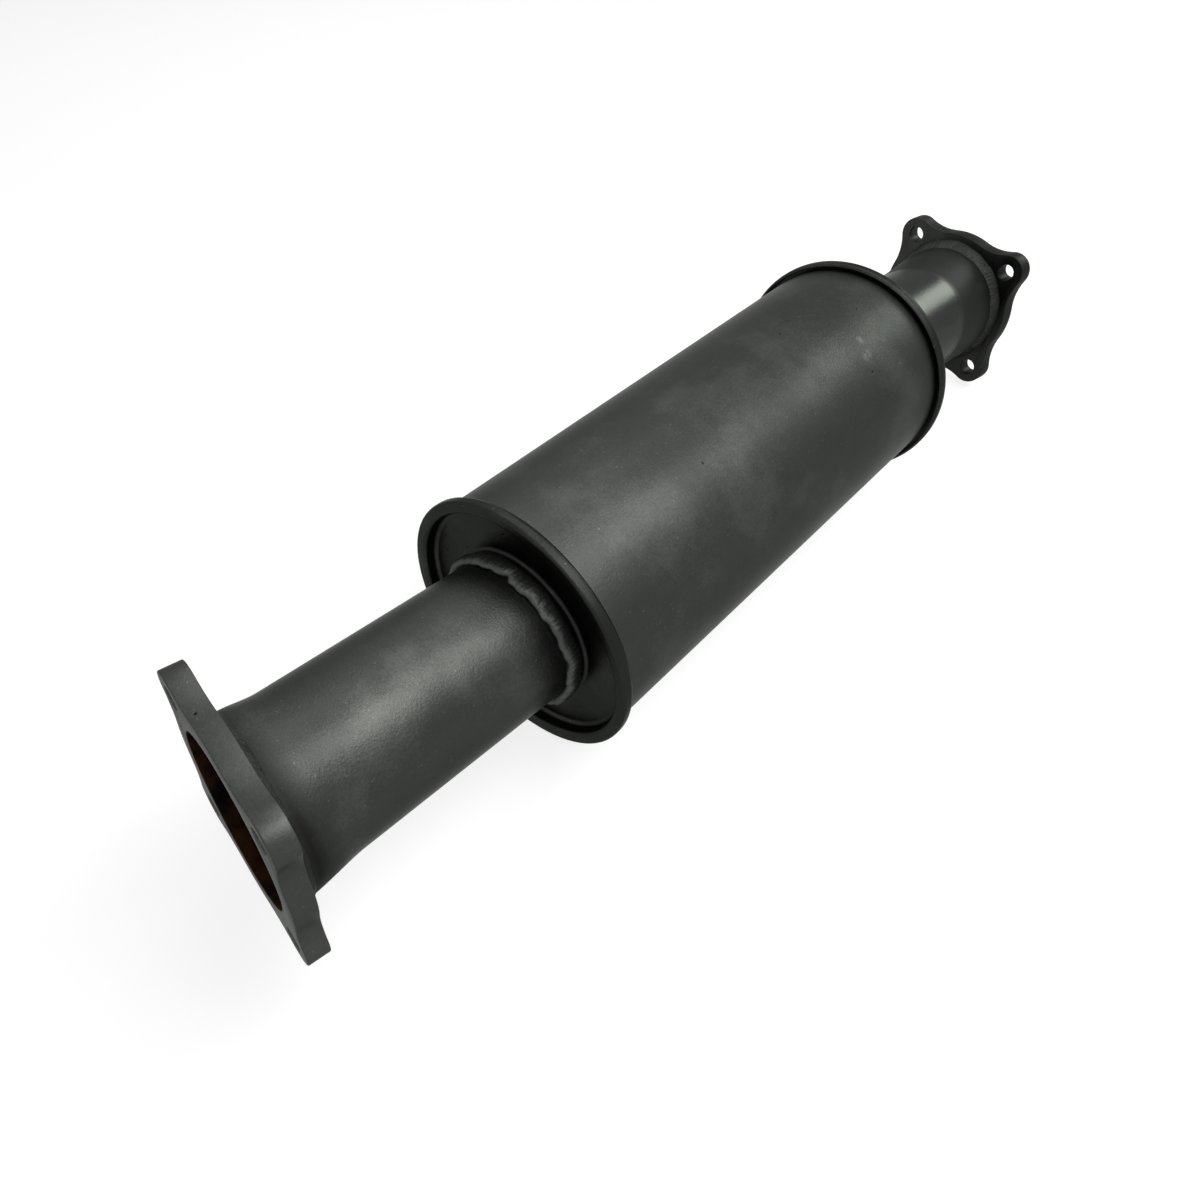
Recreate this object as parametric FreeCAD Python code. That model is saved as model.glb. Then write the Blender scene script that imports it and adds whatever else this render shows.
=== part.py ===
import FreeCAD, Part
import math
import os

from FreeCAD import Vector

# Straight-through resonator muffler for a three-inch exhaust. A painted steel shell is closed by two
# pressed end plates whose lips roll over it. A perforated core, wrapped in steel wool and glass fibre,
# runs through the middle. A pipe leaves each plate at a slant, so that the two bolt flanges lie
# parallel to each other but askew to the body.
# +X runs along the body from inlet to outlet and +Z is up. The body lies level on its rolled lips.

# Shell
shell_diameter = 131.0
shell_wall = 1.5
body_length = 303.6
seam_width_radius = 4.0
seam_height = 0.8
seam_end_gap = 6.0

# End plates: one pressed sheet from the collar round the pipe out to the lip rolled over the shell
plate_wall = 1.2
lip_rise = 3.9
lip_hem_drop = 1.4
lip_hem_reach = 1.9
lip_hem_tuck = 1.5
lip_hem_bend = 2.0
lip_bend = 1.8
floor_depth = 4.6
floor_bend = 3.0
collar_height = 2.5
collar_bend = 3.0

# Pipes
pipe_diameter = 76.2
pipe_wall = 2.0
pipe_tilt_deg = 6.0
inlet_reach = 145.05
outlet_reach = 157.05
bell_length = 24.0
bell_lead = 2.0

# Flanges
flange_thickness = 10.0
flange_bore_diameter = 76.8
flange_yaw_deg = 8.8
flange_pitch_deg = 3.5
bolt_circle_diameter = 105.0
bolt_count = 4
bolt_hole_diameter = 10.5
ear_radius = 11.8
flange_body_radius = 48.8
flange_waist_radius = 35.0
flange_edge_break = 0.5

# Perforated core and what is wrapped round it
core_wall = 1.6
hole_diameter = 6.5
holes_round = 12
hole_rows = 13
hole_row_pitch = 18.0
wool_thickness = 2.0

# Welds
plate_weld_length = 6.2
plate_weld_overlap = 4.0
plate_weld_height = 5.1
flange_weld_length = 9.5
flange_weld_width = 5.2
flange_weld_bulge = 0.4
core_weld_leg = 2.0
core_weld_start_deg = 30.0

# Sizes that follow from the ones above
shell_radius = shell_diameter / 2
shell_bore_radius = shell_radius - shell_wall
lip_radius = shell_radius + lip_rise
curl_radius = (lip_radius - shell_bore_radius) / 2
half_span = body_length / 2 - curl_radius - plate_wall / 2
collar_plane = half_span + collar_height
plate_inside = half_span - floor_depth - plate_wall
pipe_radius = pipe_diameter / 2
pipe_bore_radius = pipe_radius - pipe_wall
flange_bore_radius = flange_bore_diameter / 2
mouth_radius = flange_bore_radius + pipe_wall
core_radius = pipe_radius
pitch_circle_radius = bolt_circle_diameter / 2
X_AXIS = Vector(1, 0, 0)


def rounded_path(corners, bends):
    """Lines through the corners, with a tangent arc of the given radius at each inner corner."""
    edges = []
    start = corners[0]
    for before, corner, after, radius in zip(corners, corners[1:], corners[2:], bends):
        incoming = (corner - before).normalize()
        outgoing = (after - corner).normalize()
        turn = incoming.getAngle(outgoing)
        reach = radius * math.tan(turn / 2)
        arc_start = corner - incoming * reach
        arc_end = corner + outgoing * reach
        inward = (outgoing - incoming).normalize()
        centre = corner + inward * (radius / math.cos(turn / 2))
        if (arc_start - start).Length > 1e-6:
            edges.append(Part.LineSegment(start, arc_start).toShape())
        edges.append(Part.Arc(arc_start, centre - inward * radius, arc_end).toShape())
        start = arc_end
    edges.append(Part.LineSegment(start, corners[-1]).toShape())
    return edges


def sheet_section(middle_line, bends, wall):
    """Face of a bent sheet in the XZ plane: its middle line goes through the (x, radius) corners."""
    corners = [Vector(x, 0, radius) for x, radius in middle_line]
    runs = [(b - a).normalize() for a, b in zip(corners, corners[1:])]
    normals = [Vector(-run.z, 0, run.x) for run in runs]
    sides = []
    for offset in (wall / 2, -wall / 2):
        moved = [corners[0] + normals[0] * offset]
        radii = []
        for corner, first, second, run, bend in zip(corners[1:], normals, normals[1:], runs[1:], bends):
            moved.append(corner + (first + second) * (offset / (1 + first.dot(second))))
            turns_to_normal = run.dot(first) > 0
            radii.append(bend - offset if turns_to_normal else bend + offset)
        moved.append(corners[-1] + normals[-1] * offset)
        sides.append((moved, radii))
    edges = []
    for moved, radii in sides:
        edges.extend(rounded_path(moved, radii))
    for end in (0, -1):
        edges.append(Part.LineSegment(sides[0][0][end], sides[1][0][end]).toShape())
    return Part.Face(Part.Wire(Part.__sortEdges__(edges)))


def polygon_face(points):
    """Flat face with straight sides and curved ones: a point given as a pair is a bulge and its end."""
    edges = []
    start = points[0]
    for point in points[1:] + points[:1]:
        if isinstance(point, tuple):
            edges.append(Part.Arc(start, point[0], point[1]).toShape())
            start = point[1]
        else:
            edges.append(Part.LineSegment(start, point).toShape())
            start = point
    return Part.Face(Part.Wire(edges))


def annulus(outer_radius, inner_radius, half_length):
    """Tube about the body's axis, centred on the middle of the body."""
    base = Vector(-half_length, 0, 0)
    outer = Part.makeCylinder(outer_radius, 2 * half_length, base, X_AXIS)
    inner = Part.makeCylinder(inner_radius, 2 * half_length, base, X_AXIS)
    return outer.cut(inner)


class End:
    """Lines and centres that the pipe, flange and welds of one end share; side is -1 or 1 along X."""

    def __init__(self, side, reach):
        tilt = math.radians(pipe_tilt_deg)
        lean = Vector(1, -math.tan(math.radians(flange_yaw_deg)), -math.tan(math.radians(flange_pitch_deg)))
        self.side = side
        self.start = Vector(side * half_span, 0, 0)
        self.along = Vector(side * math.cos(tilt), 0, -side * math.sin(tilt))
        self.normal = lean.normalize() * side
        self.back = self.start + self.along * reach
        self.up = (Vector(0, 0, 1) - self.normal * self.normal.z).normalize()

    def inside_cutter(self):
        """Block on the body's side of the collar's outer face."""
        mouth = Vector(self.side * collar_plane, 0, 0)
        return Part.makeCylinder(shell_diameter, half_span, mouth, X_AXIS * -self.side)

    def facing(self, origin, normal):
        """Placement with local Z along the normal and local X as near to up as it can be."""
        across = normal.cross(self.up).normalize()
        return FreeCAD.Placement(origin, FreeCAD.Rotation(across.cross(normal), across, normal, "ZXY"))


def make_shell():
    return annulus(shell_radius, shell_bore_radius, half_span)


def make_seam_weld():
    """Flat bead along the underside, where the rolled sheet's edges meet."""
    half_length = half_span - seam_end_gap
    low = Vector(-half_length, 0, -(shell_radius + seam_height - seam_width_radius))
    bead = Part.makeCylinder(seam_width_radius, 2 * half_length, low, X_AXIS)
    return bead.cut(Part.makeCylinder(shell_radius, 2 * half_length, Vector(-half_length, 0, 0), X_AXIS))


def make_end_plate(side):
    """Pressed plate: collar turned out round the pipe, flat floor, wall and lip rolled over the shell."""
    half = plate_wall / 2
    collar_r = core_radius + half
    floor_x = -floor_depth - half
    wall_r = shell_bore_radius - half
    outer_r = lip_radius - half
    middle_line = [
        (collar_height, collar_r),
        (floor_x, collar_r),
        (floor_x, wall_r),
        (curl_radius, wall_r),
        (curl_radius, outer_r),
        (-lip_hem_drop, outer_r),
        (-lip_hem_drop - lip_hem_reach, outer_r - lip_hem_tuck),
    ]
    bends = [collar_bend, floor_bend, lip_bend, lip_bend, lip_hem_bend]
    section = sheet_section([(half_span + x, r) for x, r in middle_line], bends, plate_wall)
    plate = section.revolve(Vector(0, 0, 0), X_AXIS, 360)
    if side < 0:
        plate.rotate(Vector(0, 0, 0), Vector(0, 0, 1), 180)
    return plate


def pipe_solid(end, plain_radius, mouth):
    """Solid pipe of one radius, widening over the bell to the mouth's circle on the flange's back."""
    reach = (end.back - end.start).Length
    bell_start = reach - bell_length
    stub_start = end.start - end.along * plain_radius
    stub = Part.makeCylinder(plain_radius, bell_start + plain_radius, stub_start, end.along)
    sections = []
    for share in (0.0, bell_lead / bell_length, 0.55, 1.0):
        swell = share * share * (3 - 2 * share)
        centre = end.start + end.along * (bell_start + share * bell_length)
        normal = (end.along * (1 - swell) + end.normal * swell).normalize()
        radius = plain_radius + (mouth - plain_radius) * swell
        circle = Part.makeCircle(radius)
        circle.Placement = end.facing(centre, normal)
        sections.append(Part.Wire(circle))
    bell = Part.makeLoft(sections, True)
    return stub.fuse(bell).cut(end.inside_cutter())


def make_pipe(end):
    outer = pipe_solid(end, pipe_radius, mouth_radius)
    return outer.cut(pipe_solid(end, pipe_bore_radius, flange_bore_radius))


def flange_outline():
    """Four ears round a central disc, each joined to it by two hollow arcs."""
    waist_centre = flange_body_radius + flange_waist_radius
    ear_gap = ear_radius + flange_waist_radius
    spread = math.acos((waist_centre ** 2 + pitch_circle_radius ** 2 - ear_gap ** 2)
                       / (2 * waist_centre * pitch_circle_radius))

    def polar(radius, angle):
        return Vector(radius * math.cos(angle), radius * math.sin(angle), 0)

    edges = []
    step = 2 * math.pi / bolt_count
    for k in range(bolt_count):
        ear_angle = (k + 0.5) * step
        ear = polar(pitch_circle_radius, ear_angle)
        flank = []
        for sign in (-1, 1):
            waist = polar(waist_centre, ear_angle + sign * spread)
            on_ear = ear + (waist - ear).normalize() * ear_radius
            on_disc = polar(flange_body_radius, ear_angle + sign * spread)
            middle = ((on_ear + on_disc) * 0.5 - waist).normalize()
            flank.append(on_ear)
            edges.append(Part.Arc(on_disc, waist + middle * flange_waist_radius, on_ear).toShape())
        tip = polar(pitch_circle_radius + ear_radius, ear_angle)
        edges.append(Part.Arc(flank[0], tip, flank[1]).toShape())
        left = polar(flange_body_radius, ear_angle + spread)
        right = polar(flange_body_radius, ear_angle + step - spread)
        edges.append(Part.Arc(left, polar(flange_body_radius, ear_angle + step / 2), right).toShape())
    return Part.Wire(Part.__sortEdges__(edges))


def make_flange(end):
    """Cut plate with a broken edge all round, a port for the gas and a bolt hole in each ear."""
    plate = Part.Face(flange_outline()).extrude(Vector(0, 0, flange_thickness))
    rim = []
    for edge in plate.Edges:
        if abs(edge.BoundBox.ZMax - edge.BoundBox.ZMin) < flange_thickness / 2:
            rim.append(edge)
    plate = plate.makeChamfer(flange_edge_break, rim)
    plate = plate.cut(Part.makeCylinder(flange_bore_radius, flange_thickness))
    step = 360 / bolt_count
    for k in range(bolt_count):
        base = Vector(pitch_circle_radius, 0, 0)
        hole = Part.makeCylinder(bolt_hole_diameter / 2, flange_thickness, base)
        hole.rotate(Vector(0, 0, 0), Vector(0, 0, 1), (k + 0.5) * step)
        plate = plate.cut(hole)
    plate.Placement = end.facing(end.back, end.normal)
    return plate


def weld_ring(root_radius, length, width, bulge):
    """Fillet bead about local Z: it sits on the plane z = 0 round a wall and rises along it by length."""
    toe_wall = Vector(root_radius, 0, length)
    toe_face = Vector(root_radius + width, 0, 0)
    crown = (toe_wall + toe_face) * 0.5 + Vector(length, 0, width).normalize() * bulge
    deep = Vector(root_radius - pipe_wall, 0, 0)
    high = Vector(root_radius - pipe_wall, 0, length)
    face = polygon_face([deep, toe_face, (crown, toe_wall), high])
    return face.revolve(Vector(0, 0, 0), Vector(0, 0, 1), 360)


def make_plate_weld(end):
    """Heavy bead that wraps the collar's mouth and joins it to the pipe's slanted end."""
    collar_r = core_radius + plate_wall
    toe_x = collar_plane + plate_weld_length
    low_x = collar_plane - plate_weld_overlap
    crown = Vector((toe_x + low_x) / 2, 0, pipe_radius + plate_weld_height)
    face = polygon_face([
        Vector(collar_plane, 0, pipe_bore_radius),
        Vector(collar_plane, 0, collar_r),
        Vector(low_x, 0, collar_r),
        (crown, Vector(toe_x, 0, pipe_radius - pipe_wall / 2)),
        Vector(toe_x, 0, pipe_bore_radius),
    ])
    bead = face.revolve(Vector(0, 0, 0), X_AXIS, 360)
    if end.side < 0:
        bead.rotate(Vector(0, 0, 0), Vector(0, 0, 1), 180)
    return bead.cut(pipe_solid(end, pipe_radius, mouth_radius))


def make_flange_weld(end):
    """Fillet between the pipe's belled mouth and the back of the flange."""
    bead = weld_ring(mouth_radius, flange_weld_length, flange_weld_width, flange_weld_bulge)
    bead.Placement = FreeCAD.Placement(end.back, FreeCAD.Rotation(Vector(0, 0, 1), end.normal * -1))
    return bead.cut(pipe_solid(end, pipe_radius, mouth_radius))


def make_core():
    """Tube with staggered rows of punched holes, held in the collars of both end plates."""
    tube = annulus(core_radius, core_radius - core_wall, collar_plane)
    cutters = []
    for row in range(hole_rows):
        x = (row - (hole_rows - 1) / 2) * hole_row_pitch
        for k in range(holes_round):
            angle = 2 * math.pi * (k + 0.5 * (row % 2)) / holes_round
            outward = Vector(0, math.cos(angle), math.sin(angle))
            base = Vector(x, 0, 0) + outward * (core_radius - 2 * core_wall)
            cutters.append(Part.makeCylinder(hole_diameter / 2, 3 * core_wall, base, outward))
    return tube.cut(Part.makeCompound(cutters))


def make_core_weld(side):
    """Ring that fills the round corner between the core and the plate's inner face."""
    bend = collar_bend + plate_wall / 2
    centre = Vector(plate_inside + bend, 0, core_radius + bend)
    wool_r = core_radius + wool_thickness

    def on_bend(angle):
        return centre - Vector(math.sin(angle), 0, math.cos(angle)) * bend

    first = math.radians(core_weld_start_deg)
    last = math.acos((centre.z - wool_r) / bend)
    face = polygon_face([
        Vector(on_bend(first).x, 0, core_radius),
        on_bend(first),
        (on_bend((first + last) / 2), on_bend(last)),
        Vector(plate_inside, 0, wool_r),
        Vector(plate_inside - core_weld_leg, 0, core_radius),
    ])
    ring = face.revolve(Vector(0, 0, 0), X_AXIS, 360)
    if side < 0:
        ring.rotate(Vector(0, 0, 0), Vector(0, 0, 1), 180)
    return ring


def make_wool():
    """Steel-wool sleeve over the holes, between the two core welds."""
    return annulus(core_radius + wool_thickness, core_radius, plate_inside - core_weld_leg)


def make_packing():
    """Glass-fibre fill from the wool out to the shell, held between the plates' floors."""
    return annulus(shell_bore_radius, core_radius + wool_thickness, plate_inside)


inlet = End(-1, inlet_reach)
outlet = End(1, outlet_reach)

nodes = {
    "shell": make_shell(),
    "shell_seam_weld": make_seam_weld(),
    "inlet_end_plate": make_end_plate(-1),
    "outlet_end_plate": make_end_plate(1),
    "inlet_pipe": make_pipe(inlet),
    "outlet_pipe": make_pipe(outlet),
    "inlet_flange": make_flange(inlet),
    "outlet_flange": make_flange(outlet),
    "inlet_plate_weld": make_plate_weld(inlet),
    "outlet_plate_weld": make_plate_weld(outlet),
    "inlet_flange_weld": make_flange_weld(inlet),
    "outlet_flange_weld": make_flange_weld(outlet),
    "perforated_core": make_core(),
    "inlet_core_weld": make_core_weld(-1),
    "outlet_core_weld": make_core_weld(1),
    "core_wool": make_wool(),
    "packing": make_packing(),
}

# The origin is at the middle of the space that the muffler takes up, on the surface it lies on.
bounds = Part.makeCompound(list(nodes.values())).optimalBoundingBox(False, False)
origin = Vector((bounds.XMin + bounds.XMax) / 2, (bounds.YMin + bounds.YMax) / 2, bounds.ZMin)

os.makedirs("parts", exist_ok=True)
for name, shape in nodes.items():
    shape.translate(origin * -1)
    shape.exportStep("parts/" + name + ".step")
    print(name, "valid" if shape.isValid() else "NOT VALID", len(shape.Solids), round(shape.Volume, 1))
print("origin moved by", origin, "size", bounds.XLength, bounds.YLength, bounds.ZLength)
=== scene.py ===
import math

import bmesh
import bpy
import numpy as np
from mathutils import Euler, Matrix, Vector


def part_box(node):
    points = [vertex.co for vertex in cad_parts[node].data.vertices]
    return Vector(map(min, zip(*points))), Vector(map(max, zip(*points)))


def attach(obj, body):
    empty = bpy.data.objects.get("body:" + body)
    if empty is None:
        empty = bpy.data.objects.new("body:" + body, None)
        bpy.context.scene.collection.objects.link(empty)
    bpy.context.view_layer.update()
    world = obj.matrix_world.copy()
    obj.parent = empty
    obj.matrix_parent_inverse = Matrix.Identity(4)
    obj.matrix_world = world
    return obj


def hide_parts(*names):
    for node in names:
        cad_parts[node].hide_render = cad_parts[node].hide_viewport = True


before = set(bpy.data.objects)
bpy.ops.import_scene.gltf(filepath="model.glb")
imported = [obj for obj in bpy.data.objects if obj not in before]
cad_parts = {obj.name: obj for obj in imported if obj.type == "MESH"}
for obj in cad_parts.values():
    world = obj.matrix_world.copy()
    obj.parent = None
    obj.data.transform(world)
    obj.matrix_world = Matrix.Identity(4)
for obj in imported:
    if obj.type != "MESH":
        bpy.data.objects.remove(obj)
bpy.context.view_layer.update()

# Shell
# The real shell is 1.5 mm sheet steel rolled into a tube and welded along its underside. It is
# sprayed with a satin graphite heat paint that dries with a fine dry grain.
shell_radius = 0.0655
shell_wall = 0.0015
lip_radius = 0.0694
shell_low, shell_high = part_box("shell")
half_span = (shell_high.x - shell_low.x) / 2
body_middle = (shell_high.x + shell_low.x) / 2
# The muffler lies on its lips, so they set the height of its axis.
axis_height = lip_radius
body_centre = Vector((body_middle, 0, axis_height))
round_steps = 256
length_steps = 24


class Shade:
    """One output socket of a node tree, with arithmetic on it. Without a socket it only adds nodes."""

    def __init__(self, tree, socket=None):
        self.tree = tree
        self.socket = socket

    def feed(self, socket, value):
        """Link an input socket to another node's output, or set it to a plain value."""
        if isinstance(value, Shade):
            self.tree.links.new(value.socket, socket)
        else:
            socket.default_value = value

    def node(self, kind, settings=None, *values, **inputs):
        """Add a node: settings first, then sockets in their order or by name, with _ for a space."""
        made = self.tree.nodes.new(kind)
        for name, value in (settings or {}).items():
            setattr(made, name, value)
        for socket, value in zip(made.inputs, values):
            self.feed(socket, value)
        for name, value in inputs.items():
            wanted = name.replace("_", " ")
            self.feed(next(s for s in made.inputs if s.enabled and s.name == wanted), value)
        return made

    def out(self, kind, output=0, settings=None, *values, **inputs):
        """Add a node and take one of its outputs, by its place or its name."""
        made = self.node(kind, settings, *values, **inputs)
        return Shade(self.tree, made.outputs[output])

    def math(self, operation, *values):
        return self.out("ShaderNodeMath", 0, {"operation": operation}, *values)

    def __add__(self, other):
        return self.math("ADD", self, other)

    def __radd__(self, other):
        return self.math("ADD", other, self)

    def __sub__(self, other):
        return self.math("SUBTRACT", self, other)

    def __rsub__(self, other):
        return self.math("SUBTRACT", other, self)

    def __mul__(self, other):
        return self.math("MULTIPLY", self, other)

    def __rmul__(self, other):
        return self.math("MULTIPLY", other, self)

    def vector(self, operation, *values):
        """Vector arithmetic on this socket; lengths and dot products come back as one number."""
        output = 1 if operation in ("LENGTH", "DOT_PRODUCT") else 0
        return self.out("ShaderNodeVectorMath", output, {"operation": operation}, self, *values)

    def clamp(self):
        return self.out("ShaderNodeMath", 0, {"operation": "ADD", "use_clamp": True}, self, 0.0)

    def mix(self, first, second):
        """Colour between two colours, by this value."""
        made = self.node("ShaderNodeMix", {"data_type": "RGBA"}, self)
        # Inputs 6 and 7 of the node are its two colours, and output 2 is the mixed one.
        for socket, value in zip(made.inputs[6:8], (first, second)):
            self.feed(socket, value if isinstance(value, Shade) else (*value, 1))
        return Shade(self.tree, made.outputs[2])


def new_material(name):
    """Empty material, and the object-space position that its patterns use."""
    material = bpy.data.materials.new(name)
    material.use_nodes = True
    material.node_tree.nodes.clear()
    return material, Shade(material.node_tree).out("ShaderNodeTexCoord", "Object")


def noise(place, scale, detail, roughness):
    return place.out("ShaderNodeTexNoise", 0, Vector=place, Scale=scale, Detail=detail,
                     Roughness=roughness)


def ramp(value, low, high):
    """0 below low, 1 above high, straight between."""
    return value.out("ShaderNodeMapRange", 0, {"clamp": True}, Value=value, From_Min=low, From_Max=high)


def finish_surface(place, colour, roughness, height, relief, **fixed):
    bump = place.out("ShaderNodeBump", 0, Height=height, Strength=1.0, Distance=relief)
    surface = place.out("ShaderNodeBsdfPrincipled", 0, Base_Color=colour, Roughness=roughness,
                        Normal=bump, **fixed)
    place.node("ShaderNodeOutputMaterial", Surface=surface)


def way_out(place, centre, radii):
    """0 at the centre of an ellipsoid, 1 at its surface and more beyond."""
    return place.vector("SUBTRACT", centre).vector("DIVIDE", radii).vector("LENGTH")


def blot(place, centre, radii):
    """1 in the middle of an ellipsoid, falling to 0 at its surface."""
    return 1 - ramp(way_out(place, centre, radii), 0.35, 1.0)


def graphite_paint(name, roughness, grain_relief, dust=0.1, lift=1.0, scuffs=(), nicks=(),
                   bore=None, satin_patch_then_shade=None):
    """Satin heat paint: soft clouds of drier spray, a dry grain that catches the light, pale specks.

    Its graphite flakes mirror like a dark metal, and the dry grain keeps the edges from shining.
    Lift makes the whole coat lighter or darker, and dust whitens its grain.

    Scuffs and nicks are ellipsoids, pale and dark. Bore is a line's point, its direction and the
    radius inside which the paint gives way to soot and rust, then the two distances along the line
    between which that radius grows and by how much. The last argument is the ellipsoid outside which
    the paint turns dry and rough, and darker with a painted shade.
    """
    coat_dark = tuple(lift * part for part in (0.0380, 0.0404, 0.0374))
    coat_pale = tuple(lift * part for part in (0.0470, 0.0500, 0.0462))
    dust_grey = (0.17, 0.175, 0.16)
    pit_painted_shade = (0.012, 0.012, 0.011)
    scuff_grey = (0.100, 0.103, 0.098)
    nick_black = (0.014, 0.014, 0.013)
    soot_black = (0.006, 0.005, 0.005)
    rust_brown = (0.030, 0.013, 0.006)
    bell_painted_shade = (0.012, 0.013, 0.012)
    edge_tint = (0.52, 0.53, 0.515, 1)

    material, place = new_material(name)
    cloud = ramp(noise(place, 17.0, 4.0, 0.6), 0.35, 0.65)
    spray = ramp(noise(place, 120.0, 3.0, 0.6), 0.35, 0.65)
    grain = noise(place, 850.0, 2.0, 0.6)
    fine = noise(place, 2300.0, 2.0, 0.6)
    specks = ramp(noise(place, 620.0, 1.0, 0.5), 0.72, 0.80)
    tone = cloud * 0.4 + spray * 0.25 + ramp(grain, 0.35, 0.65) * 0.35
    dusted = (ramp(cloud * 0.6 + grain * 0.4, 0.5, 0.9) * dust + specks * 0.3).clamp()
    colour = dusted.mix(tone.mix(coat_dark, coat_pale), dust_grey)
    rough = roughness + cloud * 0.012 + grain * 0.07
    height = grain * 0.65 + fine * 0.35
    # Pits sink into the coat, and their near-black colour is a painted shade inside them.
    pits = place.out("ShaderNodeTexVoronoi", "Distance", Vector=place, Scale=62.0)
    pitted = (1 - ramp(pits, 0.030, 0.055)) * ramp(noise(place, 21.0, 1.0, 0.5), 0.52, 0.60)
    colour = pitted.mix(colour, pit_painted_shade)
    height = height - pitted * 2.0
    for centre, radii in scuffs:
        rubbed = blot(place, centre, radii) * ramp(noise(place, 300.0, 3.0, 0.6), 0.38, 0.58)
        colour = (rubbed * 0.8).mix(colour, scuff_grey)
        rough = rough + rubbed * 0.12
    for centre, radii in nicks:
        struck = blot(place, centre, radii)
        colour = struck.mix(colour, nick_black)
        height = height - struck * 3.0
    if bore:
        point, direction, radius, bell_from, bell_to, growth = bore
        blur = 0.0002
        from_start = place.vector("SUBTRACT", point)
        axis_distance = from_start.vector("CROSS_PRODUCT", direction).vector("LENGTH")
        grown = ramp(from_start.vector("DOT_PRODUCT", direction), bell_from, bell_to) * growth
        inside = 1 - ramp(axis_distance - grown, radius - blur, radius + blur)
        rust = ramp(noise(place, 70.0, 4.0, 0.65), 0.42, 0.62)
        colour = inside.mix(colour, rust.mix(soot_black, rust_brown))
        rough = rough + inside * 0.35
    # Outside the ellipsoid the paint is rougher, and darker with a painted shade.
    if satin_patch_then_shade:
        rough_with_painted_shade = ramp(way_out(place, *satin_patch_then_shade), 0.93, 1.07)
        rough = rough + rough_with_painted_shade * 0.3
        colour = (rough_with_painted_shade * 0.5).mix(colour, bell_painted_shade)
    finish_surface(place, colour, rough, height, grain_relief, Metallic=1.0, Specular_Tint=edge_tint)
    return material


def smooth_piece(name, mesh, sharp_angle, join_within=None):
    """Object from a mesh: faces turned outward, smooth but for bends sharper than the angle."""
    shape = bmesh.new()
    shape.from_mesh(mesh)
    if join_within:
        bmesh.ops.remove_doubles(shape, verts=shape.verts, dist=join_within)
    bmesh.ops.recalc_face_normals(shape, faces=shape.faces)
    shape.to_mesh(mesh)
    shape.free()
    mesh.shade_smooth()
    mesh.set_sharp_from_angle(angle=math.radians(sharp_angle))
    piece = bpy.data.objects.new(name, mesh)
    bpy.context.scene.collection.objects.link(piece)
    return piece


def ring_mesh(name, rings, sharp_angle=40):
    """Closed skin through rings of points, the last ring joined to the first."""
    count = len(rings[0])
    points = [tuple(p) for ring in rings for p in ring]
    faces = []
    for i in range(len(rings)):
        j = (i + 1) % len(rings)
        for k in range(count):
            n = (k + 1) % count
            faces.append((i * count + k, i * count + n, j * count + n, j * count + k))
    mesh = bpy.data.meshes.new(name)
    mesh.from_pydata(points, [], faces)
    return smooth_piece(name, mesh, sharp_angle)


def full_turn(steps):
    """Angles that share out one turn."""
    return [2 * math.pi * k / steps for k in range(steps)]


def turned(name, profile, side=1):
    """Closed (x, radius) profile turned about the body's axis, with x outward from the shell's end."""
    rings = []
    for x, radius in profile:
        across = body_middle + side * (half_span + x)
        rings.append([(across, radius * math.cos(t), axis_height + radius * math.sin(t))
                      for t in full_turn(round_steps)])
    return ring_mesh(name, rings)


def coat(piece, material):
    piece.data.materials.clear()
    piece.data.materials.append(material)


def install(piece, material, node_name):
    """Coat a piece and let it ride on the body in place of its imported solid."""
    coat(piece, material)
    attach(piece, "root")
    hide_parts(node_name)


# Centre and half-sizes of each rubbed or struck spot.
shell_scuffs = [
    ((0.0854, -0.0379, 0.1228), (0.0050, 0.0036, 0.0050)),
    ((0.0889, -0.0303, 0.1275), (0.0030, 0.0030, 0.0030)),
]
shell_nicks = [((0.0819, -0.0452, 0.1168), (0.0012, 0.0012, 0.0012))]
shell_paint = graphite_paint("shell_graphite_paint", roughness=0.345, grain_relief=0.00013,
                             dust=0.16, scuffs=shell_scuffs, nicks=shell_nicks)
bore_radius = shell_radius - shell_wall
shell_profile = [(-2 * half_span * k / length_steps, shell_radius) for k in range(length_steps + 1)]
shell_profile += [(-2 * half_span, bore_radius), (0, bore_radius)]
shell = turned("shell_skin", shell_profile)
install(shell, shell_paint, "shell")

# Shell seam weld
# The flat bead along the underside where the rolled sheet's edges meet, dressed and painted over.
# The imported solid has its true shape.
# Lift 1.5 makes the weld coat lighter than the shell's, a painted light on the beads.
weld_paint = graphite_paint("weld_paint", roughness=0.42, grain_relief=0.00025, dust=0.25, lift=1.5)
coat(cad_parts["shell_seam_weld"], weld_paint)

# End plates
# Each is pressed from one sheet of 1.2 mm steel: a collar turned out round the pipe, a flat sunken
# floor and a wall, with the lip rolled over the shell's end and tucked back under.
plate_wall = 0.0012
half_plate = plate_wall / 2
collar_height = 0.0025
floor_depth = 0.0046
core_radius = 0.0381
# The lip's edge runs back by the drop, then slants inward by the tuck over the reach.
hem_drop = 0.0014
hem_reach = 0.0019
hem_tuck = 0.0015
curl_radius = (lip_radius - (shell_radius - shell_wall)) / 2
arc_steps = 10


def rounded(corners, bends):
    """Dense polyline through the corners, with an arc of each bend's radius at the inner ones."""
    line = [Vector(corners[0])]
    for before, corner, after, bend in zip(corners, corners[1:], corners[2:], bends):
        before, corner, after = Vector(before), Vector(corner), Vector(after)
        incoming = (corner - before).normalized()
        outgoing = (after - corner).normalized()
        turn = incoming.angle(outgoing)
        reach = bend * math.tan(turn / 2)
        centre = corner + (outgoing - incoming).normalized() * (bend / math.cos(turn / 2))
        start = corner - incoming * reach - centre
        spin = 1 if incoming.x * outgoing.y - incoming.y * outgoing.x > 0 else -1
        for k in range(arc_steps + 1):
            angle = spin * turn * k / arc_steps
            cos, sin = math.cos(angle), math.sin(angle)
            line.append(centre + Vector((start.x * cos - start.y * sin, start.x * sin + start.y * cos)))
    line.append(Vector(corners[-1]))
    return line


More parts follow.
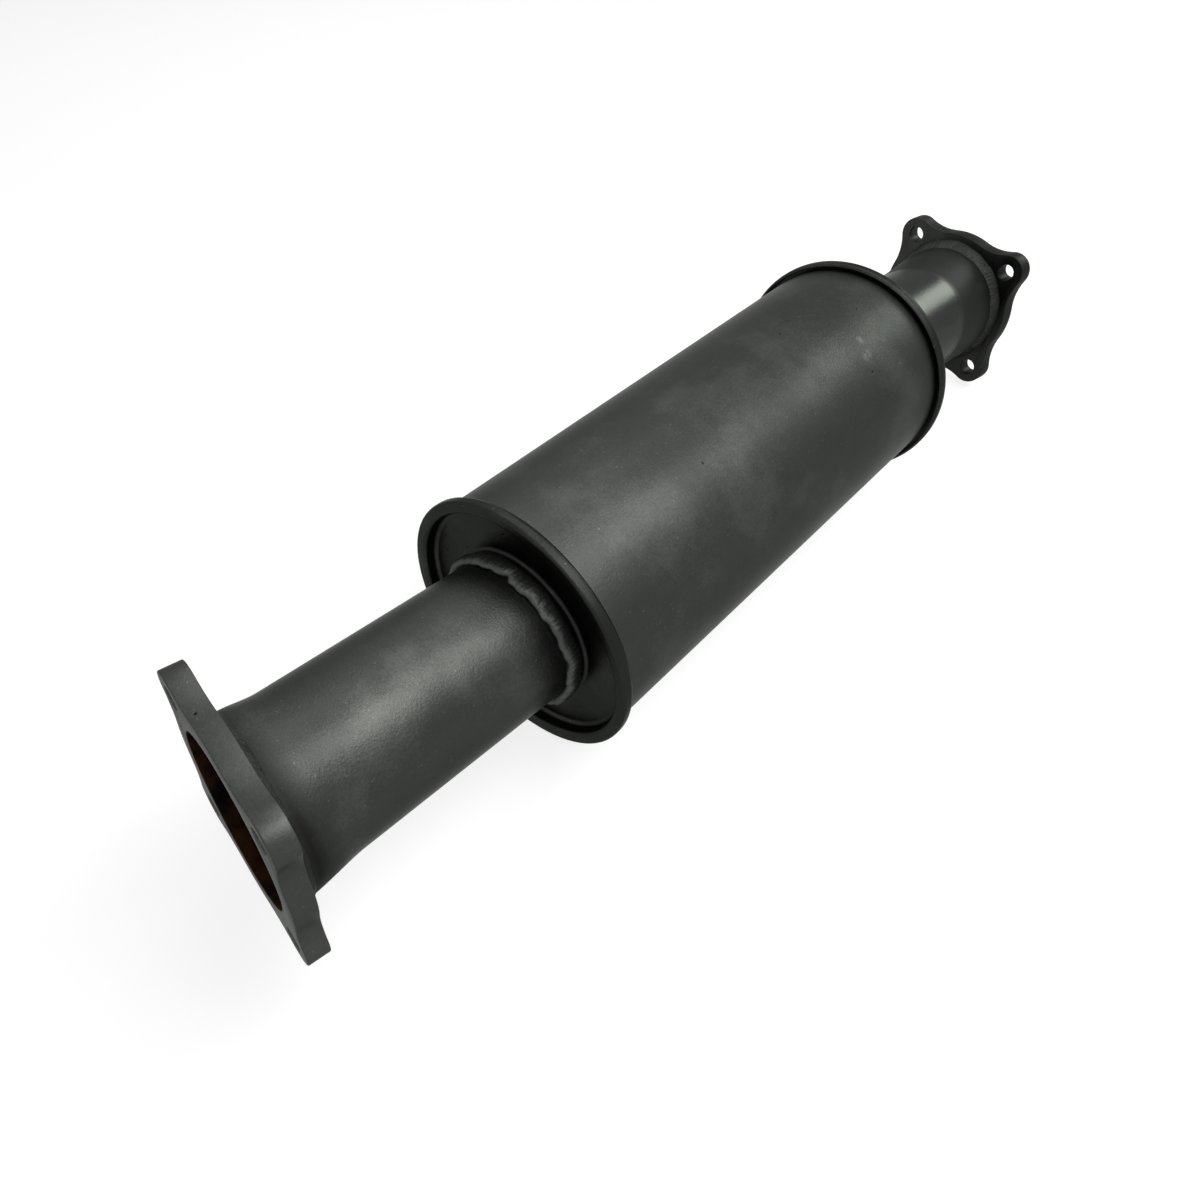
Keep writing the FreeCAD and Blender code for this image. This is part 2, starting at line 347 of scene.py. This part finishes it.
def sheet_loop(line, wall):
    """Closed loop round a polyline, half the wall to each side, with a round nose at its far end."""
    left, right = [], []
    for k, point in enumerate(line):
        run = (line[min(k + 1, len(line) - 1)] - line[max(k - 1, 0)]).normalized()
        normal = Vector((-run.y, run.x)) * (wall / 2)
        left.append(point + normal)
        right.append(point - normal)
    run = (line[-1] - line[-2]).normalized()
    side = Vector((-run.y, run.x))
    nose_steps = 6
    nose = []
    for k in range(1, nose_steps):
        angle = math.pi * k / nose_steps
        nose.append(line[-1] + (side * math.cos(angle) + run * math.sin(angle)) * (wall / 2))
    return left + nose + right[::-1]


wall_line = shell_radius - shell_wall - half_plate
lip_line = lip_radius - half_plate
plate_corners = [
    (collar_height, core_radius + half_plate),
    (-floor_depth - half_plate, core_radius + half_plate),
    (-floor_depth - half_plate, wall_line),
    (curl_radius, wall_line),
    (curl_radius, lip_line),
    (-hem_drop, lip_line),
    (-hem_drop - hem_reach + half_plate, lip_line - hem_tuck + half_plate),
]
# Bend radii at the collar's foot, the floor's rim, the two sides of the lip's crest and its hem.
plate_bends = [0.003, 0.003, 0.0018, 0.0012, 0.002]
plate_profile = [tuple(p) for p in sheet_loop(rounded(plate_corners, plate_bends), plate_wall)]
inlet_floor_x = -0.1499
nick_radii = (0.0009, 0.0009, 0.0009)
nick_places = ((0.0538, 0.0915), (0.0378, 0.0938), (0.0117, 0.1186), (0.0537, 0.0812))
plate_nicks = [((inlet_floor_x, y, z), nick_radii) for y, z in nick_places]
# Lift 0.5 makes the plates' coat darker than the shell's, a painted shade.
plate_paint = graphite_paint("plate_graphite_paint", roughness=0.32, grain_relief=0.00006,
                             lift=0.5, nicks=plate_nicks)
for side, end_name in ((-1, "inlet"), (1, "outlet")):
    plate = turned(end_name + "_end_plate_skin", plate_profile, side)
    install(plate, plate_paint, end_name + "_end_plate")

# Pipes
# Three-inch steel tube with a 2 mm wall, cut at a slant where it meets the plate's collar. Its mouth
# is belled out to the flange, which lies askew to the pipe, and soot and rust line the bore.
pipe_radius = 0.0381
pipe_wall = 0.002
mouth_bore = 0.0384
pipe_tilt = math.radians(6.0)
flange_yaw = math.radians(8.8)
flange_pitch = math.radians(3.5)
bell_lengths = {"inlet": 0.024, "outlet": 0.048}
flange_thickness = 0.010
reaches = {"inlet": 0.14505, "outlet": 0.15705}
ends = {}
for side, end_name in ((-1, "inlet"), (1, "outlet")):
    start = body_centre + Vector((side * half_span, 0, 0))
    along = Vector((side * math.cos(pipe_tilt), 0, -side * math.sin(pipe_tilt)))
    normal = Vector((1, -math.tan(flange_yaw), -math.tan(flange_pitch))).normalized() * side
    up = (Vector((0, 0, 1)) - normal * normal.z).normalized()
    back = start + along * reaches[end_name]
    ends[end_name] = {"side": side, "start": start, "along": along, "normal": normal, "up": up,
                      "back": back, "bell": bell_lengths[end_name]}


def ring_at(end, centre, normal, radius):
    """Ring of points square to the normal, counted from the top."""
    across = normal.cross(end["up"]).normalized()
    upright = across.cross(normal)
    return [centre + (upright * math.cos(t) + across * math.sin(t)) * radius
            for t in full_turn(round_steps)]


def pipe_rings(end, plain, mouth):
    """Rings of one skin of the pipe, from the collar's face to the flange's back."""
    along, start = end["along"], end["start"]
    reach = (end["back"] - start).length
    bell_start = reach - end["bell"]
    collar_x = start.x + end["side"] * collar_height
    first = [p + along * ((collar_x - p.x) / along.x) for p in ring_at(end, start, along, plain)]
    rings = [first]
    rings.append(ring_at(end, start + along * (plain * 0.5), along, plain))
    rings.append(ring_at(end, start + along * (bell_start * 0.6), along, plain))
    bell_steps = 20
    for k in range(bell_steps + 1):
        share = k / bell_steps
        # The inlet's bell opens in a slow S, and the outlet's swells at once.
        swell = share * share * (3 - 2 * share) if end["side"] < 0 else 1 - (1 - share) ** 1.6
        normal = (along * (1 - swell) + end["normal"] * swell).normalized()
        centre = start + along * (bell_start + share * end["bell"])
        rings.append(ring_at(end, centre, normal, plain + (mouth - plain) * swell))
    return rings


pipe_looks = {
    "inlet": {"roughness": 0.305, "grain_relief": 0.00019, "dust": 0.22},
    "outlet": {"roughness": 0.21, "grain_relief": 0.00006, "dust": 0.05},
}
# The paint keeps its satin in one patch of each pipe. Beyond it the paint is rough, and darker with
# a painted shade where the pipe bells out to its flange. This is how far along the pipe the patch's
# middle lies, its shift off the pipe's line, and its half-sizes.
towards_window = Vector((0, -math.sin(math.radians(30)), math.cos(math.radians(30))))
satin_patches = {
    "inlet": (0.064, Vector((0, 0, 0)), (0.0715, 1.0, 1.0)),
    "outlet": (0.055, towards_window * pipe_radius, (0.052, 0.075, 0.075)),
}
for end_name, end in ends.items():
    outer = pipe_rings(end, pipe_radius, mouth_bore + pipe_wall)
    inner = pipe_rings(end, pipe_radius - pipe_wall, mouth_bore)
    pipe = ring_mesh(end_name + "_pipe_skin", outer + inner[::-1])
    reach = reaches[end_name]
    bell_growth = mouth_bore + pipe_wall - pipe_radius
    soot_radius = pipe_radius - 0.0007
    inner_line = (tuple(end["start"]), tuple(end["along"]), soot_radius, reach - end["bell"],
                  reach, bell_growth)
    reach_to_middle, lift_off_axis, radii = satin_patches[end_name]
    satin_middle = end["start"] + end["along"] * reach_to_middle + lift_off_axis
    pipe_paint = graphite_paint(end_name + "_pipe_graphite_paint", **pipe_looks[end_name],
                                bore=inner_line, satin_patch_then_shade=(tuple(satin_middle), radii))
    install(pipe, pipe_paint, end_name + "_pipe")

# Plate welds
# A heavy hand-laid bead of weld steel wraps the collar's mouth and ties it to the pipe. It runs
# thick and thin, with crescent ripples where the puddle froze, and a dark undercut along the pipe.
weld_length = 0.0076
weld_overlap = 0.0040
weld_height = 0.0051
# The hidden sides of the beads lie this deep in the metal.
weld_bury = 0.0012
# Where the bead is pinched: angle from the top, share cut off its length there, and half-width of
# the pinch, with both angles in radians.
bead_notches = ((-0.05, 0.34, 0.05), (-1.30, 0.26, 0.16))
weld_runs = 5
first_run = 0.3
bead_steps = 1100
bead_profile_steps = 26
crown_waves = 14
around = np.linspace(0, 2 * math.pi, bead_steps, endpoint=False)


def wander(seed, waves):
    """Smooth noise round a ring, from -1 to 1."""
    draw = np.random.default_rng(seed)
    total = sum(draw.normal() * np.sin(wave * around + draw.uniform(0, 2 * math.pi)) for wave in waves)
    return total / np.abs(total).max()


def bead_crown(seed, ripple_count, ripple_depth, lump_depth):
    """Height to take off the full crown: a row for each profile step, a column for each angle."""
    pace = 0.16 * wander(seed, (2, 3, 5)) + 0.02 * wander(seed + 1, (13, 19, 29))
    strength = np.clip(0.5 + 0.8 * wander(seed + 2, (3, 4, 7, 11)), 0.08, 1)
    lumps = 0.5 + 0.5 * wander(seed + 3, (9, 14, 17, 23, 37))
    draw = np.random.default_rng(seed + 4)
    waves = [(draw.integers(25, 150), draw.uniform(-9, 9), draw.uniform(0, 6.3))
             for k in range(crown_waves)]
    cut = []
    for share in np.linspace(0, 1, bead_profile_steps):
        phase = ripple_count * (around + pace) + 9 * (share - 0.4) ** 2
        ripple = np.abs(np.sin(phase / 2)) ** 0.6
        pitted = sum(np.sin(wave * around + tilt * share + shift) for wave, tilt, shift in waves)
        pitted = pitted / crown_waves
        cut.append(ripple_depth * (strength * (1 - ripple) + 0.9 * (0.5 + pitted)) + lump_depth * lumps)
    return cut


def run_swell():
    """Saw-like swell round the ring, from 1 where each weld run starts down to 0 where it stops."""
    share = (around / (2 * math.pi) * weld_runs + first_run + 0.12 * wander(7, (2, 3))) % 1
    return np.where(share < 0.93, 1 - share / 0.93, (share - 0.93) / 0.07)


def plate_weld_mesh(name, end, seed):
    """Round bead from low on the collar's outside, over its mouth, to a toe on the slanted pipe."""
    side, start = end["side"], end["start"]
    slope = end["along"].z / abs(end["along"].x)
    low = -weld_overlap * (0.82 + 0.18 * wander(seed + 10, (3, 5, 8, 13)))
    uneven = 0.5 * wander(seed + 11, (5, 7, 12)) + 0.5 * wander(seed + 12, (16, 21, 33, 52))
    runs = run_swell()
    toe = weld_length * (0.79 + 0.10 * runs + 0.11 * uneven)
    for place, depth, width in bead_notches:
        away = (around - place + math.pi) % (2 * math.pi) - math.pi
        toe = toe * (1 - depth * np.exp(-(away / width) ** 2))
    cuts = bead_crown(seed, ripple_count=66, ripple_depth=0.00034, lump_depth=0.0010)
    overhang = 0.0014 * np.clip(0.6 + 0.6 * wander(seed + 13, (3, 6, 10)), 0, 1)
    collar_outside = core_radius + plate_wall
    peak = pipe_radius + weld_height - 0.0001

    def pipe_surface(x):
        drop = slope * (collar_height + x)
        return drop * np.cos(around) + np.sqrt(pipe_radius ** 2 - (drop * np.sin(around)) ** 2)

    rings = []
    toe_r = pipe_surface(toe) + 0.0001
    for share, cut in zip(np.linspace(0, 1, bead_profile_steps), cuts):
        swell = math.sin(math.pi * (0.04 + 0.9 * share)) ** 0.5
        x = low + (toe - low) * (share - 0.07 * math.sin(2 * math.pi * share))
        base = collar_outside + (toe_r - collar_outside) * share
        rings.append((x, base + swell * (peak - base - cut) * (0.92 + 0.08 * runs)))
    # The toe hangs over its undercut, and the last rings close the bead inside pipe and collar.
    rings.append((toe - overhang * 0.4, toe_r + 0.0002))
    rings.append((toe - 0.0003 - overhang, toe_r - 0.001))
    rings.append((np.full(bead_steps, 0.0002), np.full(bead_steps, pipe_radius - weld_bury)))
    rings.append((np.full(bead_steps, 0.0), np.full(bead_steps, collar_outside - 0.0004)))
    rings.append((low, np.full(bead_steps, collar_outside - 0.0004)))
    mouth = start.x + side * collar_height
    skins = []
    for x, r in rings:
        points = np.stack([mouth + side * x, r * np.sin(around), axis_height + r * np.cos(around)], 1)
        skins.append([tuple(p) for p in points])
    return ring_mesh(name, skins, sharp_angle=75)


bead_seeds = {"inlet": 31, "outlet": 71}
for end_name, end in ends.items():
    weld = plate_weld_mesh(end_name + "_plate_weld_bead", end, bead_seeds[end_name])
    install(weld, weld_paint, end_name + "_plate_weld")

# Flanges
# Cut from 10 mm steel plate, with four bolt ears round a central port, and welded to the pipes'
# mouths. The edges are barely broken, and the plate carries the same paint, a little rougher.
ear_radius = 0.0118
disc_radius = 0.0488
waist_radius = 0.035
pitch_radius = 0.0525
bolt_hole_radius = 0.00525
edge_break = 0.0005
ear_count = 4


def arc_points(centre, start, end_point, radius, steps):
    """Points on the shorter arc about centre, without the last one."""
    a0 = math.atan2(start.y - centre.y, start.x - centre.x)
    a1 = math.atan2(end_point.y - centre.y, end_point.x - centre.x)
    turn = (a1 - a0 + math.pi) % (2 * math.pi) - math.pi
    angles = [a0 + turn * k / steps for k in range(steps)]
    return [centre + Vector((math.cos(a), math.sin(a))) * radius for a in angles]


def flange_outline():
    """Ears round the disc, each joined to it by a hollow arc on both sides."""
    waist_far = disc_radius + waist_radius
    gap = ear_radius + waist_radius
    spread = math.acos((waist_far ** 2 + pitch_radius ** 2 - gap ** 2) / (2 * waist_far * pitch_radius))
    points = []
    step = 2 * math.pi / ear_count

    def polar(radius, angle):
        return Vector((radius * math.cos(angle), radius * math.sin(angle)))

    for k in range(ear_count):
        middle = (k + 0.5) * step
        ear = polar(pitch_radius, middle)
        tip = polar(pitch_radius + ear_radius, middle)
        waists = [polar(waist_far, middle + sign * spread) for sign in (-1, 1)]
        touch = [ear + (waist - ear).normalized() * ear_radius for waist in waists]
        on_disc = [polar(disc_radius, middle + sign * spread) for sign in (-1, 1)]
        points += arc_points(waists[0], on_disc[0], touch[0], waist_radius, 12)
        points += arc_points(ear, touch[0], tip, ear_radius, 14)
        points += arc_points(ear, tip, touch[1], ear_radius, 14)
        points += arc_points(waists[1], touch[1], on_disc[1], waist_radius, 12)
        next_ear = polar(disc_radius, middle + step - spread)
        points += arc_points(Vector((0, 0)), on_disc[1], next_ear, disc_radius, 10)
    return points


def circle_outline(centre, radius, steps):
    return [centre + Vector((math.cos(a), math.sin(a))) * radius for a in full_turn(steps)]


def plate_from_outlines(name, outlines, placement):
    """Plate cut to the outlines, the first its edge and the rest its holes, with broken edges."""
    curve = bpy.data.curves.new(name, "CURVE")
    curve.dimensions = "2D"
    curve.fill_mode = "BOTH"
    curve.extrude = flange_thickness / 2 - edge_break
    curve.bevel_depth = edge_break
    curve.bevel_resolution = 2
    curve.offset = -edge_break
    for outline in outlines:
        spline = curve.splines.new("POLY")
        spline.points.add(len(outline) - 1)
        for point, place in zip(spline.points, outline):
            point.co = (place.x, place.y, 0, 1)
        spline.use_cyclic_u = True
    holder = bpy.data.objects.new(name + "_curve", curve)
    bpy.context.scene.collection.objects.link(holder)
    bpy.context.view_layer.update()
    mesh = bpy.data.meshes.new_from_object(holder)
    bpy.data.objects.remove(holder)
    bpy.data.curves.remove(curve)
    mesh.transform(placement)
    mesh.name = name
    return smooth_piece(name, mesh, sharp_angle=50, join_within=1e-6)


# The near flange's coat is made lighter than the shell's, a painted light, and the far flange's
# darker, a painted shade.
flange_light_and_shade_lifts = {"inlet": 1.25, "outlet": 0.5}
holes = []
for k in range(ear_count):
    angle = 2 * math.pi * (k + 0.5) / ear_count
    hole_centre = Vector((math.cos(angle), math.sin(angle))) * pitch_radius
    holes.append(circle_outline(hole_centre, bolt_hole_radius, steps=40))
port = circle_outline(Vector((0, 0)), mouth_bore, steps=160)
flange_outlines = [flange_outline(), port] + holes
for end_name, end in ends.items():
    z_axis = end["normal"]
    x_axis = end["up"]
    y_axis = z_axis.cross(x_axis)
    placement = Matrix((x_axis, y_axis, z_axis)).transposed().to_4x4()
    placement.translation = end["back"] + z_axis * (flange_thickness / 2)
    flange = plate_from_outlines(end_name + "_flange_plate", flange_outlines, placement)
    soot_radius = mouth_bore + 0.0004
    port_line = (tuple(end["back"]), tuple(z_axis), soot_radius, 0.0, flange_thickness, 0.0)
    flange_paint = graphite_paint(end_name + "_flange_graphite_paint", roughness=0.38,
                                  grain_relief=0.00012, dust=0.12, lift=flange_light_and_shade_lifts[end_name],
                                  bore=port_line)
    install(flange, flange_paint, end_name + "_flange")

# Flange welds
# A flatter, rougher bead of weld steel in the corner between each pipe's belled mouth and the back
# of its flange, laid by hand right round and painted over. It is heavier at the outlet.
flange_weld_length = 0.0095
flange_weld_width = 0.0052


def flange_weld_mesh(name, end, toe_reach, climb, seed):
    """Nearly flat fillet that leans on the flange's back and on the bell."""
    axis = -end["normal"]
    across = axis.cross(end["up"])
    root = mouth_bore + pipe_wall - 0.0006
    toe_run = toe_reach * (0.90 + 0.10 * wander(seed + 5, (3, 5, 8, 13, 21)))
    spread = climb * (0.84 + 0.15 * wander(seed + 6, (2, 5, 9, 14, 23)))
    relief = climb / flange_weld_width
    cuts = bead_crown(seed, ripple_count=64, ripple_depth=0.0004 * relief ** 2,
                      lump_depth=0.0006 * relief)
    skins = []
    for share, cut in zip(np.linspace(0, 1, bead_profile_steps), cuts):
        lift = math.sin(math.pi * share) ** 0.6 * (0.0009 * relief - cut)
        z = np.clip(toe_run * (1 - share) + lift * 0.5, 0, flange_weld_length)
        r = np.clip(root + spread * share + lift * 0.85, root, root + 0.0006 + flange_weld_width)
        skins.append((z, r))
    deep = np.full(bead_steps, root - weld_bury)
    skins.append((np.full(bead_steps, 0.0), deep))
    skins.append((toe_run, deep))
    rings = []
    for z, r in skins:
        turned_up = np.outer(r * np.cos(around), np.array(end["up"]))
        turned_across = np.outer(r * np.sin(around), np.array(across))
        points = np.array(end["back"]) + turned_up + turned_across + np.outer(z, np.array(axis))
        rings.append([tuple(p) for p in points])
    return ring_mesh(name, rings, sharp_angle=60)


# How far each bead runs along the bell, and how far it climbs over the flange's back.
bead_sizes = {"inlet": (0.0040, 0.0026), "outlet": (0.0090, flange_weld_width)}
fillet_seeds = {"inlet": 131, "outlet": 171}
rough_weld_paint = graphite_paint("rough_weld_paint", roughness=0.5, grain_relief=0.0005,
                                  dust=0.12, lift=0.7)
for end_name, end in ends.items():
    toe_reach, climb = bead_sizes[end_name]
    weld = flange_weld_mesh(end_name + "_flange_weld_bead", end, toe_reach, climb,
                            fillet_seeds[end_name])
    install(weld, rough_weld_paint, end_name + "_flange_weld")

# Core and its wrapping
# The punched core, its ring welds, the steel wool and the glass fibre are shut inside. The core
# shows only down the bore, browned by heat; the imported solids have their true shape.
core_steel, core_place = new_material("heat_browned_steel")
core_cloud = noise(core_place, 60.0, 4.0, 0.6)
core_colour = ramp(core_cloud, 0.35, 0.7).mix((0.03, 0.022, 0.016), (0.09, 0.055, 0.03))
core_rough = 0.45 + 0.3 * core_cloud
finish_surface(core_place, core_colour, core_rough, core_cloud, 0.0001, Metallic=0.6)


def fibre(name, thread_scale, dark, pale, roughness, unevenness, **fixed):
    """Tangle of fine threads, with a painted shade in the gaps between them."""
    material, place = new_material(name)
    threads = noise(place, thread_scale, 6.0, 0.8)
    rough = roughness + unevenness * threads
    finish_surface(place, threads.mix(dark, pale), rough, threads, 0.0005, **fixed)
    return material


wool_fibre = fibre("steel_wool_fibre", 900.0, (0.08, 0.08, 0.08), (0.4, 0.39, 0.37),
                   roughness=0.5, unevenness=0.3, Metallic=0.5)
glass_fibre = fibre("packed_glass_fibre", 500.0, (0.5, 0.47, 0.38), (0.85, 0.82, 0.72),
                    roughness=0.8, unevenness=0.1)
inner_finishes = {
    "perforated_core": core_steel,
    "inlet_core_weld": core_steel,
    "outlet_core_weld": core_steel,
    "core_wool": wool_fibre,
    "packing": glass_fibre,
}
for node_name, material in inner_finishes.items():
    coat(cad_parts[node_name], material)

# Floor, lights and camera
# A plain pale floor that runs out to the horizon, in a plain room. Both are white where they are
# seen or mirrored and dim where they would light the muffler, which seven soft lamps do instead.
floor_half = 6.0
floor_corners = [(x * floor_half, y * floor_half, 0) for x, y in ((-1, -1), (1, -1), (1, 1), (-1, 1))]
floor_mesh = bpy.data.meshes.new("studio_floor")
floor_mesh.from_pydata(floor_corners, [], [(0, 1, 2, 3)])
studio_floor = bpy.data.objects.new("studio_floor", floor_mesh)
bpy.context.scene.collection.objects.link(studio_floor)


def split_by_ray(lighting, background):
    """One shader for the rays that light the muffler, and another for those that show the background.

    The background is seen directly, mirrored or through glass.
    """
    rays = ("Is Camera Ray", "Is Glossy Ray", "Is Transmission Ray")
    camera, glossy, through = (lighting.out("ShaderNodeLightPath", ray) for ray in rays)
    shown = (camera + glossy + through).clamp()
    return lighting.out("ShaderNodeMixShader", 0, None, shown, lighting, background)


floor_finish, floor_place = new_material("pale_floor")
floor_dim = floor_place.out("ShaderNodeBsdfDiffuse", 0, Color=(0.3, 0.3, 0.3, 1))
floor_pale = floor_place.out("ShaderNodeBsdfDiffuse", 0, Color=(0.35, 0.35, 0.35, 1))
floor_glow = floor_place.out("ShaderNodeEmission", 0, Color=(1, 1, 1, 1), Strength=0.82)
floor_lit = floor_place.out("ShaderNodeAddShader", 0, None, floor_pale, floor_glow)
floor_place.node("ShaderNodeOutputMaterial", Surface=split_by_ray(floor_dim, floor_lit))
floor_mesh.materials.append(floor_finish)

world = bpy.data.worlds.new("studio_room")
bpy.context.scene.world = world
world.use_nodes = True
world.node_tree.nodes.clear()
room = Shade(world.node_tree)
room_dim = room.out("ShaderNodeBackground", 0, Color=(1, 1, 1, 1), Strength=0.02)
room_white = room.out("ShaderNodeBackground", 0, Color=(1, 1, 1, 1), Strength=1.0)
room.node("ShaderNodeOutputWorld", Surface=split_by_ray(room_dim, room_white))

lamp_distance = 1.5
target_height = 0.07


def soft_lamp(name, bearing, height, width, length, watts, target_x=0):
    """Soft lamp that stands round the body's middle and is aimed at a point on the body.

    Its bearing from +X towards +Y and its height above level are in degrees.
    """
    bearing, height = math.radians(bearing), math.radians(height)
    flat = lamp_distance * math.cos(height)
    rise = lamp_distance * math.sin(height)
    place = Vector((flat * math.cos(bearing), flat * math.sin(bearing), target_height + rise))
    data = bpy.data.lights.new(name, "AREA")
    data.shape = "RECTANGLE"
    data.size = width
    data.size_y = length
    data.energy = watts
    lamp = bpy.data.objects.new(name, data)
    lamp.location = place
    aim = Vector((target_x, 0, target_height)) - place
    lamp.rotation_euler = aim.to_track_quat("-Z", "Y").to_euler()
    bpy.context.scene.collection.objects.link(lamp)


soft_lamp("key_lamp", 312, 60, 0.85, 0.85, 10.0)
soft_lamp("top_lamp", 256, 63, 0.90, 0.90, 6.5)
soft_lamp("far_lamp", 45, 62, 0.8, 0.8, 3.8)
soft_lamp("front_lamp", 290, 40, 1.0, 0.8, 1.2)
soft_lamp("back_lamp", 60, 30, 0.8, 0.8, 1.2)
soft_lamp("left_lamp", 215, 66, 0.8, 0.8, 0.5)
soft_lamp("window_lamp", -10, 20, 0.42, 0.42, 5.2, target_x=0.2)

# The camera was fitted to the flanges, the lips and the outline in the photo.
camera_data = bpy.data.cameras.new("photo_camera")
camera_data.sensor_width = 36
camera_data.lens = 27.08
camera_data.shift_x = 0.0406
camera_data.shift_y = -0.0171
camera_data.clip_start = 0.01
camera = bpy.data.objects.new("photo_camera", camera_data)
camera.location = (-0.35086, -0.20534, 0.39908)
camera.rotation_euler = Euler([math.radians(a) for a in (43.606, 0.205, -47.203)])
bpy.context.scene.collection.objects.link(camera)
bpy.context.scene.camera = camera
bpy.context.scene.view_settings.view_transform = "Standard"
